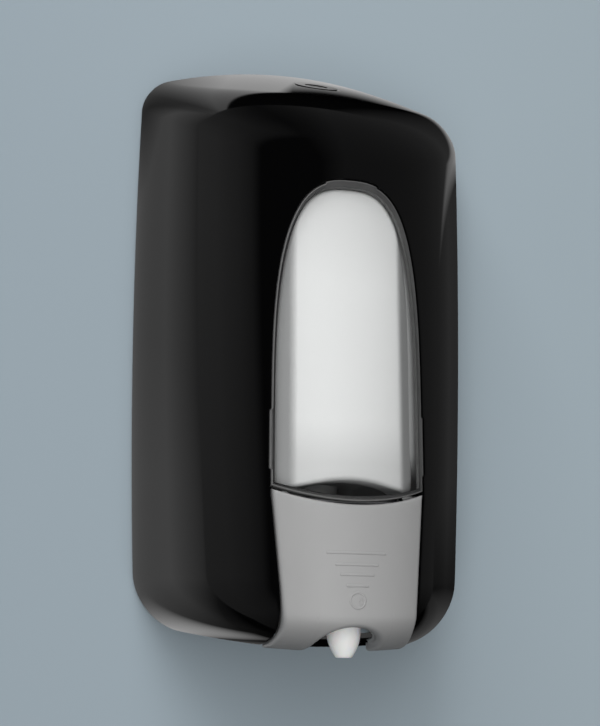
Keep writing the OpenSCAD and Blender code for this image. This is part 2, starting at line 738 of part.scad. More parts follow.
// Angle that the cam hooks behind
module catch_plate() {
    color("silver") difference() {
        union() {
            translate([-13, -plate_t - 1.2, up(180)]) cube([26, 1.2, 12]);
            translate([-2.6, -16.6, up(180)]) cube([5.2, 16.6 - plate_t, 1.2]);
            translate([-2.6, -16.6, up(180)]) cube([5.2, 1.2, 4.2]);
        }
        for (s = [-1, 1]) bar_y(1.5, plate_t - 1, 4, 186, s * 9);
    }
}
module catch_screws() {
    color("silver") for (s = [-1, 1]) {
        bar_y(1.15, 1, plate_t + 0.5, 186, s * 9);
        bar_y(2.6, plate_t + 1.2, 1.6, 186, s * 9);
    }
}
module tank_clip() {
    color([0.3, 0.3, 0.31]) both_sides() {
        translate([28, -plate_t - 2, up(158)]) cube([10, 2, 8]);
        translate([28, -20, up(156.4)]) cube([10, 20 - plate_t, 1.8]);
        translate([28, -20, up(154.2)]) cube([10, 1.6, 3]);
    }
}

back_plate();
cover();
window();
lever();
lever_axle();
hinge_pins();
tank();
tank_lid();
lid_seal();
pump_body();
pump_nut();
neck_gasket();
inlet_valve();
plunger();
piston_seal();
return_spring();
outlet_valve();
spout();
gland_cap();
lock_housing();
lock_cylinder();
lock_cam();
lock_nut();
catch_plate();
catch_screws();
tank_clip();
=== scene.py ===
"""Wall mounted push dispenser for liquid soap: the looks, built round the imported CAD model.

Lengths inside the shape functions are millimetres, as in the CAD source; meshes are metres.
x runs to the right, y into the wall and z up. Depth d is the distance from the wall, and a
height h is measured from the lowest edge of the cover at the wall, so z = h - 102.5.
"""
import math

import bmesh
import bpy
import numpy as np
from mathutils import Matrix, Vector


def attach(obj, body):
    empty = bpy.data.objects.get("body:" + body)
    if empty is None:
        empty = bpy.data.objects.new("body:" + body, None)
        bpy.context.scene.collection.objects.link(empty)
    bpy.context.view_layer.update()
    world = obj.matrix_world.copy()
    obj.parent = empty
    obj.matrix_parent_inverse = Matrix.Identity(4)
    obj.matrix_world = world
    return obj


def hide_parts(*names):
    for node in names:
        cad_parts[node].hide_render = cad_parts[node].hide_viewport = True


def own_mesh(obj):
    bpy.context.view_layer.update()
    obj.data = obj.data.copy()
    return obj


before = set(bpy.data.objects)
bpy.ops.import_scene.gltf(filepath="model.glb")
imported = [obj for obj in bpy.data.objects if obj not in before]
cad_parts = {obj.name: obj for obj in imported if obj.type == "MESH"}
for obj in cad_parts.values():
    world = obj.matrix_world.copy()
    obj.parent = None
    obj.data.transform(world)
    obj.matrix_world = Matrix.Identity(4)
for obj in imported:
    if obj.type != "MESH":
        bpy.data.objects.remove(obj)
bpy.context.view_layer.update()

# ---- Room: wall, lamps and camera -----------------------------------------------------------
# A painted blue grey wall right behind the dispenser. It shows its front only, so the back of
# the dispenser can be looked at through it. Soft boxes hang in front. What gloss mirrors is not
# the paint and the lamps but soft fields of light on the wall and a glow all round.


class Wire:
    """An output of a material's node. Arithmetic on wires adds Math nodes."""

    def __init__(self, tree, socket=None):
        self.tree, self.socket = tree, socket

    def node(self, kind, settings=(), sockets=(), out=0):
        """Adds one node: its settings first, then the values or links of its sockets."""
        made = self.tree.nodes.new("ShaderNode" + kind)
        for name, value in dict(settings).items():
            if name == "stops":
                ramp = made.color_ramp.elements
                while len(ramp) < len(value):
                    ramp.new(0.5)
                for stop, (place, tone) in zip(ramp, value):
                    stop.position, stop.color = place, (tone, tone, tone, 1)
            else:
                setattr(made, name, value)
        for name, value in dict(sockets).items():
            if isinstance(value, Wire):
                self.tree.links.new(value.socket, made.inputs[name])
            else:
                made.inputs[name].default_value = value
        return Wire(self.tree, made.outputs[out])

    def math(self, operation, a, b=0.0, clamp=False):
        return self.node("Math", {"operation": operation, "use_clamp": clamp}, {0: a, 1: b})

    def __add__(self, other):
        return self.math("ADD", self, other)

    def __sub__(self, other):
        return self.math("SUBTRACT", self, other)

    def __rsub__(self, other):
        return self.math("SUBTRACT", other, self)

    def __mul__(self, other):
        return self.math("MULTIPLY", self, other)

    __radd__ = __add__
    __rmul__ = __mul__

    def clip(self):
        return self.math("ADD", self, 0.0, clamp=True)

    def place(self):
        return self.node("TexCoord", out="Object")

    def axis(self, name):
        """One coordinate of the piece's own frame, in metres."""
        return self.node("SeparateXYZ", sockets={0: self.place()}, out="XYZ".index(name))

    def noise(self, scale, detail=2.0, stretch=(1, 1, 1)):
        """Noise from 0 to 1; scale counts its waves per metre."""
        spot = self.node("Mapping", sockets={"Vector": self.place(), "Scale": stretch})
        return self.node("TexNoise", sockets={"Vector": spot, "Scale": scale, "Detail": detail})

    def blend(self, share, first, second):
        """Colour that goes from first to second as share goes from 0 to 1."""
        return self.node("Mix", {"data_type": "RGBA"}, {"Factor": share, 6: first, 7: second}, 2)

    def bump(self, height, depth):
        """Normal of a surface raised by height times depth, in metres."""
        return self.node("Bump", sockets={"Height": height, "Distance": depth, "Strength": 1.0})


def material(name, **uniform):
    """A Principled material; each keyword sets one socket, with _ for a space in its name."""
    made = bpy.data.materials.new(name)
    made.use_nodes = True
    shader = made.node_tree.nodes["Principled BSDF"]
    for key, value in uniform.items():
        shader.inputs[key.replace("_", " ")].default_value = value
    return made, Wire(made.node_tree)


def feed(made, **wires):
    """Links wires to sockets of the material's Principled node."""
    shader = made.node_tree.nodes["Principled BSDF"]
    for key, wire in wires.items():
        made.node_tree.links.new(wire.socket, shader.inputs[key.replace("_", " ")])


SHARP = math.radians(35)    # faces that meet at a larger angle keep a sharp edge


def mesh_object(name, points, faces, mats):
    """Mesh object from points in millimetres and faces as index rows."""
    mesh = bpy.data.meshes.new(name)
    mesh.from_pydata(np.asarray(points) * 0.001, [], faces)
    mesh.validate()
    mesh.shade_smooth()
    mesh.set_sharp_from_angle(angle=SHARP)
    for one in mats:
        mesh.materials.append(one)
    made = bpy.data.objects.new(name, mesh)
    bpy.context.scene.collection.objects.link(made)
    return made


wall_paint, w = material("wall_paint", Roughness=0.9)
# Painted light: the paint grows lighter towards the right, evening out the lamps, which light the
# wall's left side more.
tone = (w.noise(6.0, 2.0) * 0.1 + w.axis("X") * 2.5 + 0.45).clip()
feed(wall_paint, Base_Color=w.blend(tone, (0.281, 0.336, 0.378, 1), (0.365, 0.436, 0.480, 1)))
painted = Wire(w.tree, w.tree.nodes["Principled BSDF"].outputs[0])
# Fields of light that gloss mirrors, by place on the wall: a broad one at the left, one above
# the roof that ends in a slanted line, a faint one at the right, a spot at the lower left
# corner and a faint strip along the foot.
x, z = w.axis("X"), w.axis("Z")
fade = ((z + 0.17) * 12).clip() * ((-0.045 - z - x * 2) * 20 + 0.5).clip()
left = w.math("MINIMUM", 0.45, 0.62 + x * 1.7) * ((-0.035 - x) * 18).clip() * fade
faint = ((-0.03 - x) * 20).clip() * ((z + 0.24) * 15).clip() * (z * -20).clip() * 0.07
crest = w.math("MAXIMUM", x * -1.6, x * -0.2)
top = ((x + 0.009 + z * 0.6) * 22).clip() * ((crest + 0.116 - z) * 100).clip() \
    * ((z - 0.07) * 100).clip() * (0.57 - ((x - 0.015) * 22).clip() * 0.27)
right = ((x - 0.05) * 15).clip() * ((z + 0.11) * 15).clip() * 0.09
off_x, off_z = (x + 0.04) * 62, (z + 0.135) * 22
spot = (1 - off_x * off_x).clip() * (1 - off_z * off_z).clip()
foot = ((-0.085 - z) * 40).clip() * ((x + 0.03) * 60).clip() * ((z + 0.16) * 40).clip()
mirrored = left + faint + top + right + spot * 0.9 + foot * 0.12
card = w.node("Emission", sockets={"Color": w.node("CombineColor", sockets={
    0: mirrored, 1: mirrored, 2: mirrored})})
ray = w.node("LightPath", out="Is Glossy Ray")
front_side = w.node("MixShader", sockets={0: ray, 1: painted, 2: card})
seen = w.node("NewGeometry", out="Backfacing")
both = w.node("MixShader", sockets={0: seen, 1: front_side, 2: w.node("BsdfTransparent")})
w.tree.links.new(both.socket, w.tree.nodes["Material Output"].inputs["Surface"])
wall_corners = [(-230, 1, -330), (260, 1, -330), (260, 1, 330), (-230, 1, 330)]
wall = mesh_object("wall", wall_corners, [(0, 1, 2, 3)], [wall_paint])

bpy.context.scene.view_settings.view_transform = "Standard"
world = bpy.data.worlds.new("studio")
bpy.context.scene.world = world
world.use_nodes = True
w = Wire(world.node_tree)
ray_x, ray_y, ray_z = (w.node("SeparateXYZ", sockets={0: w.node("TexCoord", out="Generated")},
                              out=axis) for axis in range(3))
height = w.node("ValToRGB", {"stops": [(0.0, 0.0), (0.18, 0.13), (0.5, 0.2), (0.67, 0.28),
                                       (0.82, 0.23), (0.93, 0.14), (0.985, 0.03)]},
                {0: ray_z * 0.5 + 0.5})
turned_back = w.node("ValToRGB", {"stops": [(0.25, 0.0), (0.3, 0.45), (0.37, 0.72), (0.5, 1.0)]},
                     {0: ray_y * 0.5 + 0.5})
from_left = height * turned_back * (ray_x * -4).clip()
from_right = ((ray_x + 0.15) * 3).clip() * (ray_z * 2 + 0.8).clip() * 0.09
glow = from_left + from_right + 0.004
sky = w.node("CombineColor", sockets={0: glow, 1: glow, 2: glow})
world.node_tree.links.new(sky.socket, world.node_tree.nodes["Background"].inputs["Color"])


def soft_box(name, azimuth, elevation, distance, size, power):
    """Area lamp that looks at the dispenser from a direction; azimuth 0 is straight in front."""
    lamp = bpy.data.lights.new(name, "AREA")
    lamp.shape, lamp.size, lamp.size_y, lamp.energy = "RECTANGLE", *size, power
    made = bpy.data.objects.new(name, lamp)
    a, e = math.radians(azimuth), math.radians(elevation)
    aim = Vector((math.sin(a) * math.cos(e), -math.cos(a) * math.cos(e), math.sin(e)))
    made.location = Vector((0, -0.05, 0)) + aim * distance
    made.rotation_euler = aim.to_track_quat("Z", "Y").to_euler()
    bpy.context.scene.collection.objects.link(made)
    return made


for lamp in (soft_box("front_box", -12, 12, 0.9, (0.5, 0.7), 3.8),
             soft_box("key_box", -30, 50, 1.1, (0.7, 0.6), 6.5),
             soft_box("low_box", -8, -24, 0.9, (0.7, 0.5), 3.8)):
    lamp.visible_glossy = lamp.visible_transmission = False

camera = bpy.data.objects.new("camera", bpy.data.cameras.new("camera"))
bpy.context.scene.collection.objects.link(camera)
camera.data.sensor_fit = "VERTICAL"
camera.data.sensor_height = 36
camera.data.lens = 69.34
camera.data.shift_x, camera.data.shift_y = -0.0542, -0.0188
camera.location = (-0.1252, -0.4711, -0.10374)
gaze = Vector((0.00279, -0.05, -0.0105)) - camera.location
turn = gaze.to_track_quat("-Z", "Y").to_matrix() @ Matrix.Rotation(math.radians(0.6), 3, "Z")
camera.rotation_euler = turn.to_euler()
bpy.context.scene.camera = camera

# ---- Cover ----------------------------------------------------------------------------------
# Injection moulded shell of gloss black ABS, 2.5 mm thick, hinged at its bottom rear edge. One
# opening takes the window and the lever and runs on under the floor; its edges are broken. The
# roof has a pocket for the lock, and ribs inside carry the lever's axle and the hinge pins.

HEIGHT, WALL = 205.0, 2.5
BASE_HALF = 56.5                       # half width half way up
ROOF_Z, FLOOR_Z = 72.5, -92.5          # where the roof's and the floor's sections are taken
ROOF_FALL, ROOF_LEAN, ROOF_BEND = 11, 0.48, 0.0012
ROOF_SIDE_R, ROOF_FRONT_R = 9, 18      # edge arcs, which grow from the sides to the front
FOOT_SIDE_R, FOOT_FRONT_R = 16, 19
EDGE_R = 0.15                          # rounding of the opening's edge
REAR = 0.8                             # the rear edge stays clear of the wall


def half_width(z, off):
    """Half width of the body's section: flares upwards and bows in at both ends."""
    f = z / HEIGHT
    return BASE_HALF + 4.2 * f - 2.4 * (2 * f) ** 2 - off


def half_depth(z, off):
    """Depth of the body's section, which leans back upwards."""
    return 74.5 - 13.5 * z / HEIGHT - off


def roof(x, d, off):
    """Roof height: falls to the sides as x squared, and forwards ever more steeply."""
    fall = ROOF_FALL * (x / BASE_HALF) ** 2
    return HEIGHT / 2 - off - fall - ROOF_LEAN * d - ROOF_BEND * d * d


def floor(x, d, off):
    """Floor height: rises to the sides as x squared and falls a little forwards."""
    return -HEIGHT / 2 + off + 6.7 * (x / BASE_HALF) ** 2 - 0.045 * d


def profile(t, v, off):
    """Share of the section and height, at section angle t and place v down the profile.

    v runs over the roof (0 to 1), its edge arc (1 to 2), the side (2 to 3), the floor's edge
    arc (3 to 4) and the floor (4 to 5), where the share falls back to nothing.
    """
    s, c = np.sin(t), np.cos(t)
    roof_r = ROOF_SIDE_R * s**2 + ROOF_FRONT_R * c**2 - off
    foot_r = FOOT_SIDE_R * s**2 + FOOT_FRONT_R * c**2 - off
    tx, td = half_width(ROOF_Z, off) * s, half_depth(ROOF_Z, off) * c
    fx, fd = half_width(FLOOR_Z, off) * s, half_depth(FLOOR_Z, off) * c
    top_q, low_q = roof_r / np.hypot(tx, td), foot_r / np.hypot(fx, fd)
    a = np.pi / 2 * np.clip(v - 1, 0, 1)
    b = np.pi / 2 * np.clip(v - 3, 0, 1)
    top_k = (1 - top_q) * np.clip(v, 0, 1) + top_q * np.sin(a)
    top_z = roof(top_k * tx, top_k * td, off) - roof_r * (1 - np.cos(a))
    low_k = (1 - low_q) * (1 - np.clip(v - 4, 0, 1)) + low_q * np.cos(b)
    low_z = floor(low_k * fx, low_k * fd, off) + foot_r * (1 - np.sin(b))
    z1, z2 = roof(tx, td, off) - roof_r, floor(fx, fd, off) + foot_r
    share = np.where(v < 2, top_k, np.where(v > 3, low_k, 1.0))
    z = np.where(v < 2, top_z, np.where(v > 3, low_z, z1 + (z2 - z1) * (v - 2)))
    return share, z, z1, z2


def skin(t, v, off):
    """Points of the body's surface, moved inwards by off."""
    k, z, _, _ = profile(t, v, off)
    x, d = k * half_width(z, off) * np.sin(t), k * half_depth(z, off) * np.cos(t)
    return np.stack([x, -d, z], -1)


def on_side(x, h, off):
    """Section angle and profile place of the side's point at x and height h."""
    z = h - HEIGHT / 2
    t = np.arcsin(np.clip(x / half_width(z, off), -1, 1))
    _, _, z1, z2 = profile(t, 2.5, off)
    return t, 2 + (z1 - z) / (z1 - z2)


def at_x(x_of_h, v, off):
    """Section angle where the profile place v has the x that x_of_h gives for its height."""
    t = np.full(np.shape(v), 0.4)
    for _ in range(14):
        k, z, _, _ = profile(t, v, off)
        x = x_of_h(z + HEIGHT / 2)
        t = np.arcsin(np.clip(x / (k * half_width(z, off)), -1, 1))
    return t


def at_depth(depth, v, off):
    """Section angle where the profile place v reaches that depth."""
    t = np.full(np.shape(v), 1.2)
    for _ in range(14):
        k, z, _, _ = profile(t, v, off)
        t = np.arccos(np.clip(depth / np.maximum(k * half_depth(z, off), 1e-6), -1, 1))
    return t


def front(x, h, off=0.0):
    """Point of the front wall at x and height h."""
    z = h - HEIGHT / 2
    d = half_depth(z, off) * np.sqrt(np.maximum(0, 1 - (x / half_width(z, off)) ** 2))
    return np.stack(np.broadcast_arrays(x, -d, z), -1)


def ease(x):
    """Smooth step from 0 to 1."""
    x = np.clip(x, 0, 1)
    return x * x * (3 - 2 * x)


def lever_half(h):
    """Half width of the lever: narrowest at height 4, flared evenly above and sharply below."""
    return 20.15 + 0.0885 * np.maximum(0, h - 4) + 0.05 * np.maximum(0, 4 - h) ** 2


def tabs(h):
    """1 along the two side tabs of the window, 0 elsewhere."""
    return ease((h - 49.7) / 0.5) * ease((68.3 - h) / 0.5)


WAIST, PEAK, HALF, TAB = 63.0, 141.2, 23.9, 0.5


def arch(s, grow):
    """Right side of the window's arch at s from 0 (waist) to 1 (peak), grown by grow."""
    x = (HALF + grow) * np.maximum(0, 1 - s**3.3) ** (1 / 3)
    return x, WAIST + (PEAK + grow - WAIST) * s


def along(curve):
    """Unit normals of a plane curve, pointing to its right as it runs."""
    step = np.gradient(curve, axis=0)
    step /= np.maximum(np.linalg.norm(step, axis=1, keepdims=True), 1e-9)
    return np.stack([step[:, 1], -step[:, 0]], 1)


def grid_faces(rows, cols, start, flip):
    """Quads of a grid of points that are numbered row by row."""
    i, j = np.meshgrid(np.arange(rows - 1), np.arange(cols - 1), indexing="ij")
    a = start + i * cols + j
    quads = np.stack([a, a + cols, a + cols + 1, a + 1], -1).reshape(-1, 4)
    return quads[:, ::-1] if flip else quads


def join(grids):
    """Points and faces of several grids; each is (points of shape rows x cols x 3, flip)."""
    points, faces, start = [], [], 0
    for grid, flip in grids:
        rows, cols = grid.shape[:2]
        faces.append(grid_faces(rows, cols, start, flip))
        points.append(grid.reshape(-1, 3))
        start += rows * cols
    return np.concatenate(points), np.concatenate(faces)


def both_halves(points, faces):
    """The right half and its mirror image."""
    left = points * (-1, 1, 1)
    return np.concatenate([points, left]), np.concatenate([faces, faces[:, ::-1] + len(points)])


WELD = 0.00001    # metres


def close_up(made):
    """Welds the seams and poles, drops empty faces and turns every face outwards."""
    work = bmesh.new()
    work.from_mesh(made.data)
    bmesh.ops.remove_doubles(work, verts=work.verts, dist=WELD)
    bmesh.ops.dissolve_degenerate(work, dist=WELD, edges=work.edges)
    bmesh.ops.recalc_face_normals(work, faces=work.faces)
    work.to_mesh(made.data)
    work.free()
    made.data.shade_smooth()
    made.data.set_sharp_from_angle(angle=SHARP)


# The opening's edge, from the middle of the slot's rear edge, forwards along the slot, up beside
# the lever and the window and over the arch to its peak. e is the distance from the edge.
SLOT, SLOT_HALF, RECESS, RECESS_HALF = 36.0, 23.2, 14.0, 29.6
tab_x = np.array([7.9, 8.0, 8.13, 8.27, 8.4, 8.57, 8.7, 8.8])
tab_h = np.array([67.7, 67.8, 67.97, 68.13, 68.3, 68.4])
arch_s = np.sort(np.concatenate([np.sin(np.pi / 2 * np.linspace(0, 1, 61)),
                                 (1 - (tab_x / HALF) ** 3) ** (1 / 3.3),
                                 (tab_h - WAIST) / (PEAK - WAIST)]))


def slot_side(h, e):
    """Half width of the opening beside the lever and the window's foot."""
    low = lever_half(np.maximum(h, -2.5)) + 0.5
    low = low + (SLOT_HALF - low) * ease((-1.2 - h) / 0.8)
    low = low + (HALF + 0.3 - low) * ease((h - 41.0) / 0.8)
    return low + TAB * tabs(h) + e


def corner_place(off):
    """Profile place of the slot's rear corner."""
    v = np.linspace(4.6, 3.7, 60)
    t = at_x(lambda h: SLOT_HALF + 0 * h, v, off)
    return np.interp(SLOT, -skin(t, v, off)[:, 1], v)


def opening(e, off):
    """Angles and places of the opening's side and arch at distance e, under offset off."""
    v1 = corner_place(off)
    _, v45 = on_side(HALF + 0.3, 45.2, off)
    v_low = np.concatenate([np.linspace(v1, 4, 9)[:-1], np.linspace(4, 3, 15)[:-1],
                            np.linspace(3, float(v45), 30)])
    t_low = at_x(lambda h: slot_side(h, e), v_low, off)
    h_mid = np.sort(np.append(np.linspace(45.8, 62.4, 16), [49.6, 49.7, 49.87, 50.03, 50.2, 50.3]))
    x_mid = slot_side(h_mid, e)
    x, h = arch(arch_s, 0.3)
    run = np.stack([x, h], 1)
    away = -along(run[::-1])[::-1]
    away[0], away[-1] = (1, 0), (0, 1)
    run = run + away * (e + TAB * (ease((8.7 - x) / 0.3) + tabs(h)))[:, None]
    t_up, v_up = on_side(np.append(x_mid, run[:, 0]), np.append(h_mid, run[:, 1]), off)
    return np.append(t_low, t_up), np.append(v_low, v_up), len(v_low) + len(h_mid)


def rays(off, e):
    """Rays of the shell from the opening's edge out to the rear edge and to the roof's arc."""
    t0, v0, n_side = opening(e, off)
    n = len(t0)
    k = np.arange(n)
    to_rear = n_side + 22
    v_end = v0.copy()
    share = np.clip((k - n_side) / (to_rear - n_side), 0, 1)
    v_end = np.where(k > n_side, v0[n_side] + (2 - v0[n_side]) * share, v_end)
    t_rear = at_depth(REAR, v_end, off)
    over = np.clip((k - to_rear) / (n - 1 - to_rear), 0, 1)
    t_end = t_rear * (1 - over)
    u = np.linspace(0, 1, 45)[None, :] ** 1.15
    t = t0[:, None] + (t_end - t0)[:, None] * u
    v = v0[:, None] + (v_end - v0)[:, None] * u
    return t, v, to_rear


def upper(off, t_end):
    """Roof and its arc, from the rear middle down to the end of the arc."""
    share = (t_end / t_end[0])[::-1]
    v = np.concatenate([np.linspace(0.02, 1, 34)[:-1], np.linspace(1, 2, 22)])
    t_rear = at_depth(REAR, v, off)
    return skin(t_rear[:, None] * share[None, :], v[:, None] + 0 * share[None, :], off)


def under(off, t0, v0):
    """Floor behind the slot, between the slot's rear edge and the recess for the hinges."""
    u = np.linspace(0, 1, 45) ** 1.15
    t_end = at_depth(REAR, np.array([v0]), off)[0]
    first = skin(t0 + (t_end - t0) * u, v0 + 0 * u, off)[:, :2] * (1, -1)
    run = [(first[-1, 0], REAR), (RECESS_HALF, REAR), (RECESS_HALF, RECESS), (0, RECESS)]
    steps = [3, 6, 14]
    right = np.concatenate([np.linspace(run[i], run[i + 1], steps[i], endpoint=False)
                            for i in range(3)] + [np.array(run[3:])])
    s = np.linspace(0, 1, len(right))[:, None, None]
    left = np.stack([first[0, 0] * (1 - s[:, 0, 0]), np.full(len(right), first[0, 1])], 1)
    flat = left[:, None, :] * (1 - u)[None, :, None] + right[:, None, :] * u[None, :, None]
    bend = first - (first[0] * (1 - u)[:, None] + first[-1] * u[:, None])
    flat = flat + (1 - s) * bend[None]
    x, d = flat[..., 0], flat[..., 1]
    z = np.full(x.shape, -100.0)
    for _ in range(4):
        k = np.hypot(x / half_width(z, off), d / half_depth(z, off))
        t = np.arctan2(x / half_width(z, off), d / half_depth(z, off))
        x_low, d_low = half_width(FLOOR_Z, off) * np.sin(t), half_depth(FLOOR_Z, off) * np.cos(t)
        z = floor(k * x_low, k * d_low, off)
    return np.stack([x, -d, z], -1)


def shell_layer(off, e):
    """One skin of the shell as three grids, sides, roof and floor, and its rear corner's ray."""
    t, v, to_rear = rays(off, e)
    roof_grid = upper(off, t[to_rear:, -1])
    return skin(t, v, off), roof_grid, under(off, t[0, 0], v[0, 0]), to_rear


outer, outer_roof, outer_floor, to_rear = shell_layer(0.0, EDGE_R)
inner, inner_roof, inner_floor, _ = shell_layer(WALL, 0.0)
lip = [outer[:, 0]]
floor_lip = [outer_floor[:, 0]]
for bend in (60, 30, 0):
    drop = EDGE_R * (1 - math.sin(math.radians(bend)))
    out = EDGE_R * (1 - math.cos(math.radians(bend)))
    t, v, _ = opening(out, drop)
    lip.append(skin(t, v, drop))
    edge = skin(t[:1], v[:1], drop)[0]
    row = outer_floor[:, 0].copy()
    row[:, 0] *= edge[0] / max(row[0, 0], 1e-9)
    row[:, 1] = edge[1]
    row[:, 2] += drop
    row[0] = edge
    floor_lip.append(row)
lip.append(inner[:, 0])
floor_lip.append(inner_floor[:, 0])
shell = [
    (outer, False), (inner, True), (outer_roof, True), (inner_roof, False),
    (outer_floor, True), (inner_floor, False),
    (np.stack(lip, 1), True), (np.stack(floor_lip, 1), False),
    (np.stack([outer[:to_rear + 1, -1], inner[:to_rear + 1, -1]], 1), False),
    (np.stack([outer_roof[:, -1], inner_roof[:, -1]], 1), True),
    (np.stack([outer_floor[:, -1], inner_floor[:, -1]], 1), True),
]


def prism(outline, x0, x1):
    """Straight bar between x0 and x1 over an outline of depths and heights, as one grid."""
    ring = np.array([(d, h) for d, h in outline] + [outline[0]])
    mid = ring[:-1].mean(0)
    rows = [np.broadcast_to(mid, ring.shape), ring, ring, np.broadcast_to(mid, ring.shape)]
    xs = (x0, x0, x1, x1)
    return np.stack([np.stack([0 * r[:, 0] + x, -r[:, 0], r[:, 1] - HEIGHT / 2], 1)
                     for r, x in zip(rows, xs)])


def disc(radius, x0, x1, d, h, hole=0.0):
    """Short bar along x with a round bore, as one grid; the radius may change with the angle."""
    t = np.linspace(0, 2 * np.pi, 49)[None, :]
    r = np.stack([hole + 0 * t[0], radius + 0 * t[0], radius + 0 * t[0], hole + 0 * t[0],
                  hole + 0 * t[0]])
    x = np.array([x0, x0, x1, x1, x0])[:, None] + 0 * t
    return np.stack([x, -(d + r * np.cos(t)), h - HEIGHT / 2 + r * np.sin(t)], -1)


def reach(corners, t):
    """Distance from the origin to the edge of a convex outline in direction t."""
    first, last = np.array(corners), np.roll(corners, -1, axis=0)
    normal = np.stack([last[:, 1] - first[:, 1], first[:, 0] - last[:, 0]], 1)
    lead = normal @ np.stack([np.cos(t), np.sin(t)])
    gap = (normal * first).sum(1)[:, None]
    hit = gap / np.where(np.abs(lead) > 1e-9, lead, 1)
    return np.where(lead * np.sign(gap) > 1e-6, hit, 99).min(0)


def depth_of(x, h, off):
    """Depth of the front wall at x and height h."""
    return float(-front(np.array(x), h, off)[1])


def nose(x, h, off):
    """Depth of the body's lower front at x and height h, on the floor's front edge arc."""
    low, r = floor(x, 60, off) + HEIGHT / 2, FOOT_FRONT_R - off
    k = np.clip((low + r - h) / r, 0, 1)
    return depth_of(x, h, off) - r * (1 - math.sqrt(1 - k * k))


def turned(profile, d):
    """Surface of revolution about an upright axis at depth d; profile is radii and heights."""
    r, h = np.array(profile, float).T[..., None]
    t = np.linspace(0, 2 * np.pi, 73)[None, :]
    return np.stack([r * np.sin(t), -d - r * np.cos(t), h - HEIGHT / 2 + 0 * t], -1)


LOCK_D, LOCK_BORE = 28, 6.02


def at_lock(profile):
    """Surface of revolution about the lock's axis; heights are measured from the roof."""
    grid = turned(profile, 0.0)
    grid[..., 2] += HEIGHT / 2
    tilt = math.atan(ROOF_LEAN + 2 * ROOF_BEND * LOCK_D)
    y, z = grid[..., 1].copy(), grid[..., 2].copy()
    grid[..., 1] = y * math.cos(tilt) - z * math.sin(tilt) - LOCK_D
    grid[..., 2] = y * math.sin(tilt) + z * math.cos(tilt) + roof(0, LOCK_D, 0)
    return grid


def carve(made, *grids):
    """Cuts the closed shapes of some grids out of a piece."""
    for grid in grids:
        cutter = mesh_object("cutter", *join([(grid, False)]), [])
        close_up(cutter)
        cut = made.modifiers.new("cut", "BOOLEAN")
        cut.operation, cut.solver, cut.object = "DIFFERENCE", "EXACT", cutter
        bpy.context.view_layer.update()
        seen = made.evaluated_get(bpy.context.evaluated_depsgraph_get())
        mesh = bpy.data.meshes.new_from_object(seen)
        made.modifiers.clear()
        made.data = mesh
        bpy.data.objects.remove(cutter)


AXLE_D, AXLE_H, AXLE_BORE = 65.3, 41, 1.52
HINGE_D, HINGE_H, HINGE_BORE = 10.5, 9.5, 1.55
CHEEK_X0, CHEEK_X1, CHEEK_OFF = 24.4, 26.4, 1.6
web = reach([(-3, 0), (-2, -5.5), (9, -5.5), (3.4, 2)], np.linspace(0, 2 * np.pi, 49))
cheek = [(36, 0.8), (36, 5), (52, 8), (58, 30), (60, 45.5)]
cheek += [(nose(CHEEK_X1, h, CHEEK_OFF), h) for h in (45.5, 40, 30, 20, 14)]
cheek += [(nose(CHEEK_X1, h, CHEEK_OFF) - 1.5, h) for h in (10, 6, 3)] + [(50, 0.4)]
ribs = [prism(cheek, CHEEK_X0, CHEEK_X1),
        disc(2.4, CHEEK_X0, CHEEK_X1, AXLE_D, AXLE_H, AXLE_BORE),
        disc(np.maximum(4, web), 29.3, 34.3, HINGE_D, HINGE_H, HINGE_BORE)]
round_off = [(HINGE_D - 10 * np.cos(b), HINGE_H - 10 * np.sin(b))
             for b in np.linspace(0, np.pi / 2, 13)]
rear_corner = prism(round_off + [(HINGE_D, -8), (-1, -8), (-1, HINGE_H)], -70, 70)
pocket = [(0, 4), (7.85, 4), (7.85, 0.1), (7.6, -0.2), (7.6, -0.9), (LOCK_BORE, -0.9),
          (LOCK_BORE, -6), (0, -6)]
pad_ring = [(LOCK_BORE, -1.4), (9.5, -1.4), (9.5, -3.2), (LOCK_BORE, -3.2), (LOCK_BORE, -1.4)]
gloss_black, _ = material("gloss_black", Base_Color=(0.0012, 0.0012, 0.0013, 1), Roughness=0.06,
                          IOR=1.52)
cover = mesh_object("cover_shell", *both_halves(*join(shell)), [gloss_black])
close_up(cover)
carve(cover, at_lock(pocket), rear_corner)
bars = mesh_object("cover_ribs", *both_halves(*join([(rib, False) for rib in ribs])),
                   [gloss_black])
close_up(bars)
pad = mesh_object("lock_pad", *join([(at_lock(pad_ring), False)]), [gloss_black])
close_up(pad)
for part in (cover, bars, pad):
    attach(part, "cover")
    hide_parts("cover")

# ---- Window ---------------------------------------------------------------------------------
# Clear polycarbonate lens, 2 mm thick and 0.4 mm behind the cover's surface. A rim runs back
# through the opening to a flange behind the cover, and three tabs on the rim snap it in.

LENS_OFF, LENS_T, LENS_R = 0.4, 2.0, 0.4
FLANGE_OFF, FLANGE, RIM_T = 2.65, 3.4, 1.4
RIM_IN = 1.6                           # from the lens's edge to the rim's inner side
LEVER_TOP, LEVER_DIP = 39.5, 4.6
FOOT_GAP = 1.0                         # between the lever's top edge and the lens's foot


def lever_edge(x):
    """Height of the lever's top edge, which dips in the middle as x squared."""
    return LEVER_TOP + LEVER_DIP * np.minimum(1, np.abs(x) / HALF) ** 2


def outline(grow, tab):
    """Right side of the window as arrays x and h, grown by grow, with its tabs standing out."""
    x, h = arch(arch_s, 0)
    away = -along(np.stack([x, h], 1)[::-1])[::-1]
    away[0], away[-1] = (1, 0), (0, 1)
    out = grow + tab * (ease((8.4 - x) / 0.3) + tabs(h))
    return x + away[:, 0] * out, h + away[:, 1] * out


